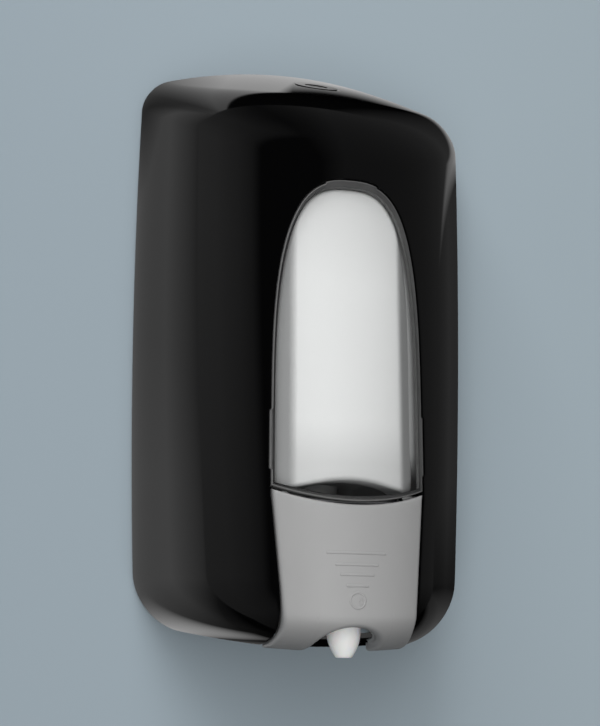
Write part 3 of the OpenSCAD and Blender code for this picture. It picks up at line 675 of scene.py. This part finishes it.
def panel(foot_h, heights, edge):
    """Grid of x and h over the right half of a panel, shrinking to a point at its peak.

    Rows start along the foot, whose shape fades out upwards as a square; the last column is
    the edge.
    """
    u = np.sin(np.pi / 2 * np.linspace(0, 1, 25))[None, :]
    h0 = heights[:, None]
    v = (h0 - heights[0]) / (heights[-1] - heights[0])
    h = h0 + 0 * u
    for _ in range(8):
        x = u * edge(h)
        h = h0 + (foot_h(x) - foot_h(0 * x[:1, :1])) * (1 - v) ** 2
    return u * edge(h), h


def rim_line(grid):
    """Edge of a panel's grid, from the middle of its foot round to its peak."""
    return np.concatenate([grid[0], grid[1:, -1]])


def lens_grid(grow, tab, flange=0.0):
    """Panel grid of the window, grown by grow, and by flange above the lever's corners."""
    x0, h0 = outline(grow, tab)
    foot = lambda x: lever_edge(x) + FOOT_GAP - grow
    rise = h0[-1] + flange - foot(0)
    v = np.linspace(0, 1, 800)
    at_edge = foot(0) + rise * v + (foot(HALF) - foot(0)) * (1 - v) ** 2
    marks = np.concatenate([49.6 + tab_h - tab_h[0], tab_h, np.interp(tab_x, x0[::-1], h0[::-1])])
    v = np.concatenate([np.sin(np.pi / 2 * np.linspace(0, 1, 60)), np.interp(marks, at_edge, v)])
    heights = foot(0) + rise * np.sort(v)

    def edge(h):
        low = np.interp(h, h0, x0) + 0.0 * h
        side = HALF + grow + tab * tabs(h)
        wide = np.where(h < WAIST, side, low)
        if flange:
            xf, hf = outline(grow + flange, tab)
            wide = np.where(h < 46.5, wide, np.where(h < WAIST, side + flange,
                                                     np.interp(h, hf, xf)))
        return wide

    return panel(foot, heights, edge)


def lens_line(grow, off, tab=TAB, flange=0.0):
    """Points of the lens's edge at one growth and offset."""
    x, h = lens_grid(grow, tab, flange)
    return rim_line(front(x, h, off))


front_face = front(*lens_grid(-LENS_R, TAB), LENS_OFF)
back_face = front(*lens_grid(-RIM_IN, 0.0), LENS_OFF + LENS_T)
steps = [rim_line(front_face)]
for bend in (67.5, 45, 22.5, 0):
    b = math.radians(bend)
    steps.append(lens_line(LENS_R * (math.cos(b) - 1), LENS_OFF + LENS_R * (1 - math.sin(b))))
steps.append(lens_line(0, FLANGE_OFF))
steps.append(lens_line(0, FLANGE_OFF, flange=FLANGE))
steps.append(lens_line(0, FLANGE_OFF + RIM_T, flange=FLANGE))
steps.append(lens_line(-RIM_IN, FLANGE_OFF + RIM_T, tab=0.0))
steps.append(rim_line(back_face))
rim = np.stack(steps, 1)
lens_parts = [(front_face, False), (back_face, True), (rim, True)]
clear, w = material("clear_polycarbonate", Base_Color=(0.95, 0.955, 0.955, 1), Roughness=0.015,
                    IOR=1.49, Transmission_Weight=1.0)
glass_out = Wire(w.tree, w.tree.nodes["Principled BSDF"].outputs[0])
open_way = w.node("BsdfTransparent", sockets={"Color": (0.955, 0.96, 0.96, 1)})
both = glass_out    # light that the tank gets passes straight through, not bent
for ray in ("Is Diffuse Ray", "Is Shadow Ray"):
    both = w.node("MixShader", sockets={0: w.node("LightPath", out=ray), 1: both, 2: open_way})
w.tree.links.new(both.socket, w.tree.nodes["Material Output"].inputs["Surface"])
# Painted shade: the lens's rim, its rounded edge and flange are opaque dark grey, standing in for
# the dark inside seen through clear plastic.
painted_rim_shade, w = material("lens_rim_painted_shade", Roughness=0.5, IOR=1.49)
feed(painted_rim_shade, Base_Color=w.blend(w.noise(300.0), (0.13, 0.13, 0.13, 1), (0.17, 0.17, 0.17, 1)))
points, faces = both_halves(*join(lens_parts))
window = mesh_object("window_lens", points, faces, [clear, painted_rim_shade])
half_faces = len(faces) // 2
rim_faces = (rim.shape[0] - 1) * (rim.shape[1] - 1)
on_rim = np.arange(len(faces)) % half_faces >= half_faces - rim_faces
window.data.polygons.foreach_set("material_index", on_rim.astype(np.int32))
close_up(window)
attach(window, "cover")
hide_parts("window")

# ---- Lever ----------------------------------------------------------------------------------
# Moulded push lever of satin grey ABS: a curved plate that turns under the cover's floor, with
# an arch round the spout. Four raised lines and a raised ring show where to push.

LIP_END, LEVER_T, LEVER_R = 56.0, 2.5, 0.9
ROLL_H, ROLL_D, ROLL_AT = 10.0, 20.0, 66    # the roll's height, its depth and where it is
ARCH_X, ARCH_H, ARCH_LOW = 10.4, 6.6, -2.6


def lever_skin(x, q, off, e):
    """Lever surface: q runs down the front (0 to 1), round a quarter ellipse, back (2 to 3)."""
    r, deep = ROLL_H - off, ROLL_D - off
    foot_h = floor(x, ROLL_AT, off) + HEIGHT / 2 + r
    top = lever_edge(x) - e
    a = np.pi / 2 * np.clip(q - 1, 0, 1)
    h = top + (foot_h - top) * np.clip(q, 0, 1)
    base = front(x, h, off)
    d = -base[..., 1] - deep * (1 - np.cos(a))
    d = d + (LIP_END + e - d) * np.clip(q - 2, 0, 1)
    return np.stack([x, -d, h - HEIGHT / 2 - r * np.sin(a)], -1), h - r * np.sin(a)


def lever_patches(e, off):
    """The lever's half as two grids: above the arch, and beside it down to the lip's end."""
    w_in = np.sin(np.pi / 2 * np.linspace(0, 1, 21))
    x_in = (ARCH_X + e) * w_in
    h_in = ARCH_LOW + (ARCH_H + e) * np.sqrt(1 - w_in**2)
    foot_h = floor(x_in, ROLL_AT, off) + HEIGHT / 2 + ROLL_H - off
    q_in = 1 + np.arcsin(np.clip((foot_h - h_in) / (ROLL_H - off), 0, 1)) / (np.pi / 2)
    t = np.linspace(0, 1, 44)[:, None]
    x = x_in[None, :] + 0 * t
    inner = lever_skin(x, q_in[None, :] * t, off, e)[0]
    q = np.append(q_in[-1] * t[:, 0], np.linspace(q_in[-1], 3, 22)[1:])[:, None]
    u = np.linspace(0, 1, 18)[None, :]
    x = x_in[-1] + (21 - x_in[-1]) * u + 0 * q
    for _ in range(5):
        h = lever_skin(x, q + 0 * u, off, e)[1]
        x = x_in[-1] + (lever_half(h) - e - x_in[-1]) * u
    return inner, lever_skin(x, q + 0 * u, off, e)[0]


def lever_rim(e, off):
    """Edge of the lever's half: top, side, lip's end, lip's inner side and arch."""
    inner, outer = lever_patches(e, off)
    return np.concatenate([inner[0], outer[0, 1:], outer[1:, -1], outer[-1, -2::-1],
                           outer[-2:len(inner) - 2:-1, 0], inner[-1, -2::-1]])


inner_out, outer_out = lever_patches(LEVER_R, 0.0)
inner_in, outer_in = lever_patches(0.0, LEVER_T)
steps = []
for bend in (90, 67.5, 45, 22.5, 0):
    b = math.radians(bend)
    steps.append(lever_rim(LEVER_R * (1 - math.cos(b)), LEVER_R * (1 - math.sin(b))))
steps.append(lever_rim(0.0, LEVER_T))
collar = [lever_patches(e, off)[0][-1] for e, off in ((0, 2), (0, 3.1), (0.4, 3.5), (1.5, 3.5),
                                                      (1.5, 2))]
plate = [
    (inner_out, False), (outer_out, False), (inner_in, True), (outer_in, True),
    (np.stack(steps, 1), False), (np.stack(collar, 1), True),
]


PROUD, SUNK = 0.18, 0.15    # how far the marks stand out, and how far they reach in


def raised_bar(half, h, wide):
    """A raised line with round ends: its cross section is half an ellipse."""
    u = np.linspace(-1, 1, 61)[:, None]
    a = np.linspace(0, np.pi, 9)[None, :]
    end = np.clip((np.abs(u) * half - (half - wide)) / wide, 0, 1)
    full = np.sqrt(1 - end**2)
    x = u * half + 0 * a
    up = h + wide * full * np.cos(a)
    return front(x, up, SUNK - (PROUD + SUNK) * np.sin(a) * (0.25 + 0.75 * full))


def raised_ring(radius, wide, proud, h, start=0.0, stop=2 * np.pi):
    """A raised ring, or an arc of one, with half an ellipse for its cross section."""
    t = np.linspace(start, stop, 73)[:, None]
    a = np.linspace(0, np.pi, 9)[None, :]
    r = radius + wide * np.cos(a)
    return front(r * np.sin(t), h + r * np.cos(t), SUNK - (proud + SUNK) * np.sin(a) + 0 * t)


lines = ((9.4, 25.2), (6.8, 21.8), (5.4, 18.9), (3.5, 15.7))
marks = [raised_bar(half, h, 0.45) for half, h in lines]
marks.append(raised_ring(2.25, 0.4, PROUD, 11.5))
marks += [raised_ring(r, 0.14, 0.12, 11.1, 0.2 * np.pi, 0.8 * np.pi) for r in (0.5, 1.0, 1.5)]

cheek = [(depth_of(20, h, 1.2), h) for h in (40, 34, 28, 20, 12, 6)]
cheek += [(68, 2), (62, 2), (63, 14), (65, 28), (63, 38), (63, 42), (66, 43.6), (69.5, 42)]
pusher = [(depth_of(10, h, 1.2), h) for h in (34, 22, 9)] + [(76, 9), (74.5, 12), (74.5, 18),
                                                              (75, 30)]
ribs = [prism(cheek, 18, 20), prism(pusher, 8, 10),
        disc(2.9, 18, 22.9, AXLE_D, AXLE_H, 1.55), disc(3, 8, 10, 74.5, 15)]
points, faces = both_halves(*join(plate + [(rib, False) for rib in ribs]))
mark_points, mark_faces = join([(mark, False) for mark in marks])
satin_grey, w = material("satin_grey", Roughness=0.42, IOR=1.5)
cloud = w.noise(90.0, 3.0)
grain = w.noise(5200.0, 2.0)
feed(satin_grey, Base_Color=w.blend(cloud, (0.313, 0.313, 0.313, 1), (0.333, 0.333, 0.333, 1)),
     Roughness=w.noise(700.0) * 0.12 + 0.36, Normal=w.bump(grain, 0.00002))
lever = mesh_object("push_lever", np.concatenate([points, mark_points]),
                    np.concatenate([faces, mark_faces + len(points)]), [satin_grey])
close_up(lever)
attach(lever, "lever")
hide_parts("lever")

# ---- Tank -----------------------------------------------------------------------------------
# Blow moulded polyethylene tank with a silvery frosted finish. Its raised front panel fills the
# window; it has a filler neck on top and an outlet neck with a flange below.

TANK_LOW, TANK_HIGH, TANK_BACK, TANK_R = 50.0, 154.0, 12.0, 8.0
TANK_OFF = 7.5                         # between the cover's outside and the tank
FILLER_D, OUTLET_D = 31, 23
BAY_OFF, BAY_HALF, BAY_CREASE, BAY_R = 4.5, 22.7, 16.5, 1.6
BAY_LOW, BAY_ARCH, BAY_FOOT_R, BAY_BACK = 44.4, 2.65, 3.8, 13.0


def tank_grid():
    """Body of the tank: half ellipses with a flat back, drawn in along an arc at both ends."""
    a = np.linspace(0, np.pi / 2, 9)
    low, high = TANK_LOW + TANK_R * (1 - np.cos(a)), TANK_HIGH - TANK_R * (1 - np.sin(a))
    h = np.concatenate([[TANK_LOW], low, np.linspace(low[-1], high[0], 20)[1:-1], high,
                        [TANK_HIGH]])
    inset = np.concatenate([[TANK_R], TANK_R * (1 - np.sin(a)), np.zeros(18),
                            TANK_R * (1 - np.cos(a)), [TANK_R]])[:, None]
    share = np.ones(len(h))
    share[0] = share[-1] = 0
    t = np.linspace(-np.pi / 2, np.pi / 2, 91)
    z = h[:, None] - HEIGHT / 2
    x = (half_width(z, TANK_OFF) - inset) * np.sin(t)[None, :]
    back = TANK_BACK + inset
    d = back + (half_depth(z, TANK_OFF) - inset - back) * np.cos(t)[None, :]
    x, d = x * share[:, None], 30 + (d - 30) * share[:, None]
    grid = np.stack([x, -d, z + 0 * x], -1)
    return np.concatenate([grid, grid[:, :1]], 1)


def bay_foot(x):
    """Foot of the front panel: an arch between two rounded corners."""
    s = np.abs(x) / (BAY_HALF - BAY_FOOT_R)
    c = np.clip(np.abs(x) - BAY_HALF + BAY_FOOT_R, 0, BAY_FOOT_R)
    bump = BAY_ARCH * np.maximum(0, 1 - s * s) ** 1.5
    return BAY_LOW + np.where(s < 1, bump, BAY_FOOT_R - np.sqrt(BAY_FOOT_R**2 - c * c))


def bay_points(e, off):
    """Front panel with its edge drawn in by e; its sides slope back from two creases."""
    x0, h0 = arch(arch_s, BAY_HALF - HALF - e)
    foot = lambda x: bay_foot(x * BAY_HALF / (BAY_HALF - e)) + e
    heights = foot(0) + (h0[-1] - foot(0)) * np.sin(np.pi / 2 * np.linspace(0, 1, 60))
    x, h = panel(foot, heights, lambda h: np.where(h < WAIST, BAY_HALF - e, np.interp(h, h0, x0)))
    grid = front(x, h, off)
    grid[..., 1] += 0.5 * np.maximum(0, x - BAY_CREASE)
    return grid


steps = []
for bend in (90, 67.5, 45, 22.5, 0):
    b = math.radians(bend)
    e, off = BAY_R * (1 - math.cos(b)), BAY_OFF + BAY_R * (1 - math.sin(b))
    steps.append(rim_line(bay_points(e, off)))
steps.append(rim_line(bay_points(0.0, BAY_BACK)))
bay = both_halves(*join([(bay_points(BAY_R, BAY_OFF), False), (np.stack(steps, 1), True)]))
neck_top = [(17.2, 150), (17.2, 158.6), (17.6, 159), (18.6, 159), (19, 158.6), (19, 154.6),
            (19.6, 153.9)]
neck_low = [(10.5, 51), (10.5, 42.2), (12.1, 42.2), (12.3, 42), (12.3, 40.6), (12.1, 40.4),
            (10.5, 40.4), (10.5, 39), (8, 39), (8, 50)]
tank_parts = [(tank_grid(), False), (turned(neck_top, FILLER_D), False),
              (turned(neck_low, OUTLET_D), False)]
points, faces = join(tank_parts)
frosted, w = material("frosted_tank", Roughness=0.35, IOR=1.5)
grain = w.noise(2600.0, 4.0)
flow = w.noise(28.0, 3.0, (1, 1, 0.35))
# Painted shade: the panel's sides beyond the creases are painted dark grey, and the grain makes
# that edge grainy.
side = w.math("ABSOLUTE", w.axis("X")) + (grain - 0.5) * 0.002
painted_facet_shade = ((side - 0.0157) * 420).clip()
z = w.axis("Z")
# Painted shade: the tank's colour darkens towards its top and, more strongly, towards its foot.
ends = ((z - 0.006) * 40).clip() * 0.15 + ((-0.038 - z) * 80).clip() * 0.22
body = w.blend(flow, (0.8, 0.8, 0.795, 1), (0.84, 0.84, 0.835, 1))
body = w.blend(ends, body, (0.1, 0.1, 0.1, 1))
feed(frosted, Base_Color=w.blend(painted_facet_shade, body, (0.38, 0.38, 0.38, 1)),
     Roughness=w.noise(900.0) * 0.14 + 0.28, Normal=w.bump(grain, 0.00003))
tank = mesh_object("soap_tank", np.concatenate([points, bay[0]]),
                   np.concatenate([faces, bay[1] + len(points)]), [frosted])
close_up(tank)
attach(tank, "base")
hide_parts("tank")

# ---- Spout ----------------------------------------------------------------------------------
# Soft white beak that carries the soap down and a little forwards. It plugs into the socket
# of the plunger, and its tip is turned in round the bore.

SPOUT_D = 66.3
fall = np.linspace(0, 1, 24)
beak_h = np.concatenate([[8.5, 8.5], 4 - 8 * fall, [-4.4, -4.65, -4.8, -4.8, -4.5, -2.0, -2.0]])
beak_r = np.concatenate([[0, 5.2], 5.2 - 2.3 * fall**2.3, [2.65, 2.4, 2.1, 1.6, 1.4, 1.4, 0]])
grid = turned(np.stack([beak_r, beak_h], 1), SPOUT_D)
grid[..., 1] -= np.interp(beak_h, [-4.9, 0, 3], [0.5, 0.2, 0])[:, None]
white, w = material("spout_white", Roughness=0.3, IOR=1.5, Subsurface_Weight=0.15,
                    Subsurface_Scale=0.002)
feed(white, Base_Color=w.blend(w.noise(160.0), (0.93, 0.93, 0.92, 1), (0.96, 0.96, 0.95, 1)),
     Normal=w.bump(w.noise(3000.0), 0.00001))
spout = mesh_object("spout_beak", *join([(grid, True)]), [white])
close_up(spout)
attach(spout, "plunger")
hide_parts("spout")

# ---- Pump -----------------------------------------------------------------------------------
# Piston pump under the tank: dark polypropylene body, union nut and front cap, and a natural
# plunger. Valves and lid seal are milky silicone; gasket and piston seal are black rubber.


def finish_nodes(made, *names):
    """Gives CAD nodes that stay their finish."""
    for name in names:
        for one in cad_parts[name].material_slots:
            one.material = made


pump_white, w = material("pump_white", Roughness=0.38, IOR=1.49)
cloud = w.noise(120.0, 4.0)
feed(pump_white, Base_Color=w.blend(cloud, (0.74, 0.74, 0.72, 1), (0.8, 0.8, 0.78, 1)),
     Roughness=w.noise(900.0) * 0.14 + 0.3, Normal=w.bump(w.noise(3200.0), 0.00001))
finish_nodes(pump_white, "plunger")
dark_grey, w = material("dark_polypropylene", Roughness=0.5, IOR=1.49)
cloud = w.noise(80.0, 3.0)
feed(dark_grey, Base_Color=w.blend(cloud, (0.06, 0.06, 0.062, 1), (0.075, 0.075, 0.077, 1)),
     Roughness=w.noise(900.0) * 0.14 + 0.42, Normal=w.bump(w.noise(3600.0), 0.00002))
finish_nodes(dark_grey, "tank_lid", "pump_body", "pump_nut", "gland_cap")
silicone, w = material("silicone", Roughness=0.5, IOR=1.41, Subsurface_Weight=0.2,
                       Subsurface_Scale=0.001)
feed(silicone, Base_Color=w.blend(w.noise(400.0), (0.68, 0.66, 0.62, 1), (0.74, 0.72, 0.68, 1)),
     Normal=w.bump(w.noise(2400.0), 0.00001))
finish_nodes(silicone, "lid_seal", "inlet_valve", "outlet_valve")
rubber, w = material("gasket_rubber", Roughness=0.7, IOR=1.5)
feed(rubber, Base_Color=w.blend(w.noise(700.0), (0.04, 0.04, 0.04, 1), (0.06, 0.06, 0.06, 1)),
     Normal=w.bump(w.noise(4000.0), 0.00002))
finish_nodes(rubber, "neck_gasket", "piston_seal")

# ---- Steel pins, spring and screws ----------------------------------------------------------
# Drawn steel wire and stamped steel: the lever's axle, the hinge pins, the lock's arm, the
# angle that it hooks behind, with its two screws, and the return spring, which is wound here
# and shortens as the plunger goes in.

steel, w = material("drawn_steel", Metallic=1.0, Roughness=0.3)
streak = w.noise(900.0, 3.0, (0.05, 1, 1))
feed(steel, Base_Color=w.blend(streak, (0.5, 0.5, 0.52, 1), (0.66, 0.66, 0.68, 1)),
     Roughness=streak * 0.2 + 0.2, Normal=w.bump(streak, 0.000004))
finish_nodes(steel, "lever_axle", "hinge_pins", "lock_cam", "catch_plate", "catch_screws")
WIRE, COIL_R, TURNS, COIL_REAR, COIL_LONG, PUMP_H = 0.55, 5.6, 5, 17.67, 13.66, 15
run = np.concatenate([[0], np.linspace(0, 1, 241), [1]])[:, None]
wire = WIRE * np.ones_like(run)
wire[0] = wire[-1] = 0
a, b = 2 * np.pi * TURNS * run, np.linspace(0, 2 * np.pi, 13)[None, :]
r = COIL_R + wire * np.cos(b)
coil = np.stack([r * np.cos(a), -COIL_REAR - COIL_LONG * run - wire * np.sin(b),
                 PUMP_H - HEIGHT / 2 + r * np.sin(a)], -1)
spring = mesh_object("spring_coil", *join([(coil, True)]), [steel])
close_up(spring)
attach(spring, "base")
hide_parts("return_spring")
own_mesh(spring)

# ---- Lock -----------------------------------------------------------------------------------
# Zinc die cast cam lock, let into the roof flush with its surface and held by a nut behind.
# The parts that show are plated in polished black nickel, the nut in satin nickel.

nickel, w = material("satin_nickel", Metallic=1.0, Roughness=0.3)
feed(nickel, Base_Color=w.blend(w.noise(500.0), (0.62, 0.61, 0.59, 1), (0.7, 0.69, 0.67, 1)),
     Roughness=w.noise(1500.0) * 0.16 + 0.22, Normal=w.bump(w.noise(3800.0), 0.000003))
finish_nodes(nickel, "lock_nut")
black_nickel, w = material("black_nickel", Metallic=1.0, Roughness=0.08)
feed(black_nickel,
     Base_Color=w.blend(w.noise(500.0), (0.042, 0.042, 0.043, 1), (0.05, 0.05, 0.052, 1)),
     Roughness=w.noise(1500.0) * 0.06 + 0.05, Normal=w.bump(w.noise(3800.0), 0.000002))
finish_nodes(black_nickel, "lock_housing", "lock_cylinder")

# ---- Back plate -----------------------------------------------------------------------------
# Moulded back plate of fine matt ABS with shelf arms for the tank, hinge ears and screw
# bosses. The tank's clip is the same.

matt_black, w = material("matt_black", Roughness=0.6, IOR=1.5)
cloud = w.noise(60.0)
feed(matt_black, Base_Color=w.blend(cloud, (0.022, 0.022, 0.023, 1), (0.03, 0.03, 0.031, 1)),
     Roughness=w.noise(800.0) * 0.12 + 0.52, Normal=w.bump(w.noise(4200.0, 3.0), 0.00003))
finish_nodes(matt_black, "back_plate", "tank_clip")
